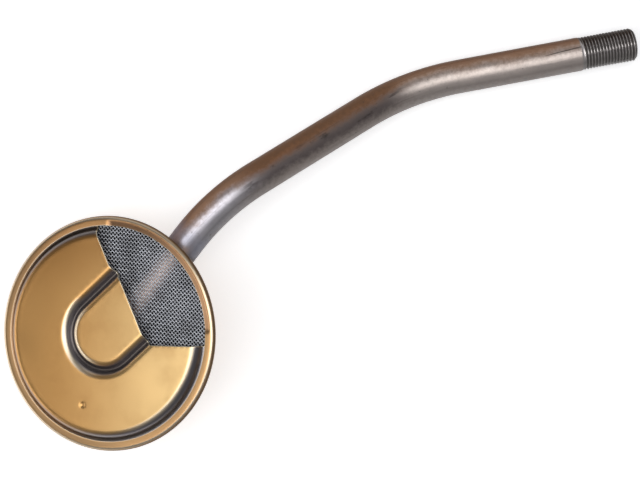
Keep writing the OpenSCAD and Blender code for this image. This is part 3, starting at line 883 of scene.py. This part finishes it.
def plate_patches(s):
    """Patches of the plate's top, as flat points, heights, faces and the marks of painted highlight, drawn
    plating and painted shade.

    The groove's section is carried along its U and the shoulder's is turned about the axis. Between them lies
    the flat face, less a smooth round dent, slow waves and a shallow hollow.
    """
    p = s.plate
    lip_gap, roll_gap, net_gap, dent_gap = 0.00005, 0.0001, 0.0006, 0.0008
    net_x, net_y, dent_spread = 0.0015, 0.0013, 1.25
    facing, up = heading(p.cut_azimuth), heading(p.cut_azimuth + pi / 2)
    ahead, side = heading(p.groove_azimuth), heading(p.groove_azimuth + pi / 2)
    turn = p.groove_azimuth - p.cut_azimuth
    tongue = p.cut_dist + p.tongue_len

    # Section of the groove
    slope, re, rb = p.groove_slope, p.groove_edge_r, p.groove_bottom_r
    half = (re + rb) * sin(slope) + (p.groove_depth - (re + rb) * (1 - cos(slope))) / tan(slope)
    left = arc(-half, -re, re, pi / 2, pi / 2 - slope, 9)
    floor = arc(0, rb - p.groove_depth, rb, -pi / 2 - slope, slope - pi / 2, 13)
    groove = np.concatenate([left, floor, left[::-1] * [-1, 1]])
    r = p.groove_r + groove[:, 0]

    # Where the groove's legs meet the cuts and the rounded corner between these
    upper_from = (tongue + r[0] * sin(turn)) / cos(turn)
    upper_to = (p.cut_dist + r[-1] * sin(turn)) / cos(turn)
    upper = upper_from + (upper_to - upper_from) * (groove[:, 0] + half) / (2 * half)
    corner_y = p.cut_corner_r - p.lower_cut
    corner = np.array([(tongue + p.cut_corner_r - corner_y * facing[1]) / facing[0], corner_y])
    base = -r[:, None] * side
    lower = np.maximum((tongue - r * sin(turn)) / cos(turn), (-p.lower_cut - base[:, 1]) / ahead[1])
    toward = (corner - base) @ ahead
    miss = norm(corner - base - toward[:, None] * ahead, axis=1)
    met = toward - np.sqrt(np.maximum(p.cut_corner_r**2 - miss**2, 0))
    reached = base + lower[:, None] * ahead
    rounded = (reached @ up < (corner @ up)) & (reached[:, 0] < corner[0]) & (miss < p.cut_corner_r)
    lower = np.where(rounded, met, lower)

    # Groove
    leg = np.linspace(0, 1, 25)[:, None, None]
    up_leg = r[:, None] * side + (upper[:, None] * (1 - leg)) * ahead
    w = np.linspace(pi / 2, 3 * pi / 2, 61)[1:-1, None]
    bend = r[None, :, None] * (np.cos(w)[..., None] * ahead + np.sin(w)[..., None] * side)
    down_leg = base + (lower[:, None] * leg) * ahead
    strip = np.concatenate([up_leg, bend, down_leg])
    strip_z = np.repeat(p.face_h + groove[None, :, 1], len(strip), axis=0)

    # Shoulder and flange
    rs, rf, wall = p.shoulder_r, p.foot_r, p.shoulder_slope
    foot = s.cup.lip_in - lip_gap
    run = (rs + rf) * sin(wall) + (p.face_h - (rs + rf) * (1 - cos(wall))) / tan(wall)
    shoulder = arc(foot - run, p.face_h - rs, rs, pi / 2, pi / 2 - wall, 13)
    flange = [[p.clamped_r - roll_gap, 0]]
    ring = np.concatenate([shoulder, arc(foot, rf, rf, -pi / 2 - wall, -pi / 2, 7), flange])
    start = p.cut_azimuth + np.arccos(p.cut_dist / ring[:, 0])
    stop = 2 * pi - np.arcsin(p.lower_cut / ring[:, 0])
    w = start + (stop - start) * np.linspace(0, 1, 301)[:, None]
    skirt = np.stack([ring[:, 0] * np.cos(w), ring[:, 0] * np.sin(w)], axis=-1)
    skirt_z = np.repeat(ring[None, :, 1], len(skirt), axis=0)

    # Outlines of the flat face and of the tongue
    def between(a, b, step=0.001):
        n = max(int(norm(b - a) / step), 1) + 1
        return a + np.linspace(0, 1, n)[:, None] * (b - a)

    on_low = np.array([corner[0], -p.lower_cut])
    mouth, mouth_end = np.array([on_low]), strip[-1, -1]
    if mouth_end[1] > -p.lower_cut + 1e-6:
        first, last = (np.arctan2(*(q - corner)[::-1]) for q in (on_low, mouth_end))
        mouth = arc(*corner, p.cut_corner_r, first, last, 9)
    face = np.concatenate([
        skirt[:, 0],
        between(skirt[-1, 0], mouth[0])[1:],
        mouth[1:],
        strip[::-1, -1],
        between(strip[0, -1], skirt[0, 0])[1:-1],
    ])
    tongue_loop = np.concatenate([strip[:, 0], between(strip[-1, 0], strip[0, 0])[1:-1]])

    # Marks of the groove and of the shoulder: painted highlight on edges, matt drawn walls, and painted shade
    # in the groove's trough and on the shoulder's upper left
    rim = np.linspace(0, slope, len(left))
    tilt = np.concatenate([rim, np.full(len(floor), slope), rim[::-1]])
    from_left = np.arctan2(strip[:, 0, 1], strip[:, 0, 0])[:, None] - radians(190)
    on_left = smoothstep(np.cos(from_left), 0.2, 0.6)
    # Painted highlight on the groove's upper edges, on the left of the U only
    highlight = 0.8 * smoothstep(tilt, radians(4), radians(14)) * on_left
    drawn = np.tile(smoothstep(tilt, radians(26), radians(26)), (len(strip), 1))
    # Painted shade along the groove's trough
    trough = np.concatenate([0 * rim, np.sin(np.linspace(0, pi, len(floor))), 0 * rim])
    shaded = np.tile(0.8 * trough**0.5, (len(strip), 1))
    patches = [(strip, strip_z, grid_faces(*strip_z.shape), highlight, drawn, shaded)]
    tilt = np.concatenate([np.linspace(0, wall, len(shoulder)), np.full(len(ring) - len(shoulder), wall)])
    # Shoulder: a painted highlight on its upper edge at the lower right, painted shadow on its wall at the
    # upper left, and less drawn grey on the left
    golden = 0.35 * smoothstep(np.cos(w - radians(195)), 0.2, 0.6)
    lit = smoothstep(np.cos(w - radians(335)), 0.5, 0.35)
    shadowed = smoothstep(np.cos(w - radians(120)), 0.6, 0.3)
    highlight = 0.6 * smoothstep(tilt, radians(3), radians(9)) * lit
    drawn = smoothstep(tilt, radians(14), radians(26)) * (1 - golden)
    patches.append((skirt, skirt_z, grid_faces(*skirt_z.shape), highlight, drawn, 0.6 * drawn * shadowed))

    # Flat face and tongue, over a net of points with rings round the dent
    dent = np.array([p.dent_x, p.dent_y])
    a, b = (v.ravel() for v in np.meshgrid(np.arange(-36, 37), np.arange(-42, 43)))
    net = np.column_stack([(a + 0.5 * (b % 2)) * net_x, b * net_y])
    net = net[norm(net - dent, axis=1) > p.dent_d / 2 + dent_gap]
    reaches = np.linspace(0.1, dent_spread, 12) * p.dent_d / 2
    rings = np.concatenate([arc(*dent, q, 0, 2 * pi, 33)[:-1] for q in reaches])
    for loop, more in ((face, np.concatenate([net, rings, [dent]])), (tongue_loop, net)):
        found, tris = filled(loop, clear_of(more[inside(more, loop)], loop, net_gap))
        far = norm(found - dent, axis=1) / (p.dent_d / 2)
        z = p.face_h - p.dent_depth * (1 - smoothstep(far / dent_spread))
        within = np.where(np.arange(len(found)) < len(loop), 0, 1)
        x, y = found[:, 0], found[:, 1]
        sway = np.sin(x / 0.0061 + 1) + np.sin(y / 0.0072) + np.sin((x + y) / 0.0047)
        hollow = np.exp(-np.sum((found - [0.0245, -0.0365]) ** 2, axis=1) / 0.004**2)
        z -= within * (p.sway * (1 + sway / 3) / 2 + p.hollow * hollow)
        patches.append((found, z, tris, 0 * z, 0 * z, 0 * z))
    return patches


class PICKUP_OT_plate(bpy.types.Operator):
    """Build the pressed baffle plate with its groove, shoulder, cut-away quarter and dent"""

    bl_idname = "pickup.plate"
    bl_label = "Baffle plate"

    def execute(self, context):
        """The patches as one mesh with all faces upwards. Solidify gives the sheet, and a bevel rounds the
        cut edges."""
        s = settings()
        p, lay = s.plate, layout(s)
        points, faces, marks, count = [], [], {"highlight": [], "drawn": [], "shaded": []}, 0
        for flat, z, patch, *values in plate_patches(s):
            flat = flat.reshape(-1, 2)
            corners = flat[np.array([q[:3] for q in patch])]
            a, b = corners[:, 1] - corners[:, 0], corners[:, 2] - corners[:, 0]
            order = 1 if np.sum(a[:, 0] * b[:, 1] - a[:, 1] * b[:, 0]) > 0 else -1
            points.append(np.column_stack([flat, z.ravel()]))
            faces.extend((np.array(patch) + count)[:, ::order].tolist())
            for key, value in zip(marks, values):
                marks[key].append(np.ravel(value))
            count += len(flat)
        gold = gold_finish("Gold sheet of the plate", p.gold, p.lit_gold, lay)
        sheared = plain_metal("Sheared edge", p.edge)
        marks = {key: np.concatenate(values) for key, values in marks.items()}
        obj = piece("plate_pressed", into_part(np.concatenate(points), lay), faces, [gold, sheared],
                    merge=True, closed=False, marks=marks)
        modify(obj, "SOLIDIFY", thickness=p.thick, offset=-1, material_offset_rim=1, use_even_offset=True)
        modify(obj, "BEVEL", width=p.edge_r, segments=3, limit_method="ANGLE", angle_limit=radians(60),
               use_clamp_overlap=False, material=1)
        applied(obj, 35)
        fitted(obj, "baffle_plate")
        return {"FINISHED"}


class PICKUP_OT_stage(bpy.types.Operator):
    """Build the floor, the lights and the camera"""

    bl_idname = "pickup.stage"
    bl_label = "Stage"

    def execute(self, context):
        """A white floor that keeps the shadow, a wide light overhead, low lights beyond the tube and on the
        left, and a camera that looks straight down."""
        s = settings()
        g, lay, scene = s.stage, layout(s), context.scene
        f = Finish("White floor", metallic=0.0, roughness=0.9)
        f.shade("Specular IOR Level", 0.1)
        f.shade("Emission Color", (1, 1, 1))
        seen = f.tree.nodes.new("ShaderNodeLightPath").outputs
        rays = f.math("MAXIMUM", seen["Is Camera Ray"], seen["Is Glossy Ray"])
        rays = f.math("MAXIMUM", rays, seen["Is Transmission Ray"])
        f.shade("Emission Strength", f.times(rays, g.glow))
        half = 5.0
        edge = [(x * half, y * half, lay.floor_z) for x, y in ((-1, -1), (1, -1), (1, 1), (-1, 1))]
        piece("floor", edge, [(0, 1, 2, 3)], [f.done(g.floor)])

        world = bpy.data.worlds.new("Room")
        world.use_nodes = True
        world.node_tree.nodes["Background"].inputs["Color"].default_value = (*g.room, 1)
        scene.world = world

        middle = np.array([g.camera_x, g.camera_y, 0])
        for name, power, across, along, place, tilt, swing in (
            ("Softbox", g.key, 1.46, 0.61, (-0.31, -0.055, 0.95), 0, 10),
            ("Side light", g.side, 1.4, 0.5, (0.1, 1.1, 0.45), -68, 0),
            ("Left light", g.left, 0.9, 0.2, (-1.25, -0.05, 0.19), -82, 90),
        ):
            lamp = bpy.data.lights.new(name, "AREA")
            assign(lamp, energy=power, shape="RECTANGLE", size=across, size_y=along)
            light = bpy.data.objects.new(name, lamp)
            light.location = middle + place
            light.rotation_euler = (radians(tilt), 0, radians(swing))
            scene.collection.objects.link(light)

        camera = assign(bpy.data.cameras.new("Camera"), lens=73.125, sensor_width=36)
        view = bpy.data.objects.new("Camera", camera)
        view.location = (g.camera_x, g.camera_y, g.camera_z)
        view.rotation_euler = (0, 0, g.camera_turn)
        scene.collection.objects.link(view)
        scene.camera = view
        scene.view_settings.view_transform = "Standard"
        return {"FINISHED"}


class PICKUP_PT_panel(bpy.types.Panel):
    """Lists the pieces and their properties"""

    bl_idname = "PICKUP_PT_panel"
    bl_label = "Oil pickup tube"
    bl_space_type = "VIEW_3D"
    bl_region_type = "UI"
    bl_category = "Pickup"

    def draw(self, context):
        for operator in OPERATORS:
            self.layout.operator(operator.bl_idname)
        for key, group in GROUPS.items():
            for name in group.__annotations__:
                self.layout.prop(getattr(context.scene, "pickup_" + key), name)


OPERATORS = (PICKUP_OT_tube, PICKUP_OT_cup, PICKUP_OT_braze, PICKUP_OT_screen, PICKUP_OT_plate,
             PICKUP_OT_stage)
CLASSES = (*GROUPS.values(), *OPERATORS, PICKUP_PT_panel)


def register():
    for cls in CLASSES:
        bpy.utils.register_class(cls)
    for key, group in GROUPS.items():
        setattr(bpy.types.Scene, "pickup_" + key, PointerProperty(type=group))


def unregister():
    for key in GROUPS:
        delattr(bpy.types.Scene, "pickup_" + key)
    for cls in reversed(CLASSES):
        bpy.utils.unregister_class(cls)


def main():
    register()
    bpy.ops.pickup.tube()
    bpy.ops.pickup.cup()
    bpy.ops.pickup.braze()
    bpy.ops.pickup.screen()
    bpy.ops.pickup.plate()
    bpy.ops.pickup.stage()


if __name__ == "__main__":
    main()
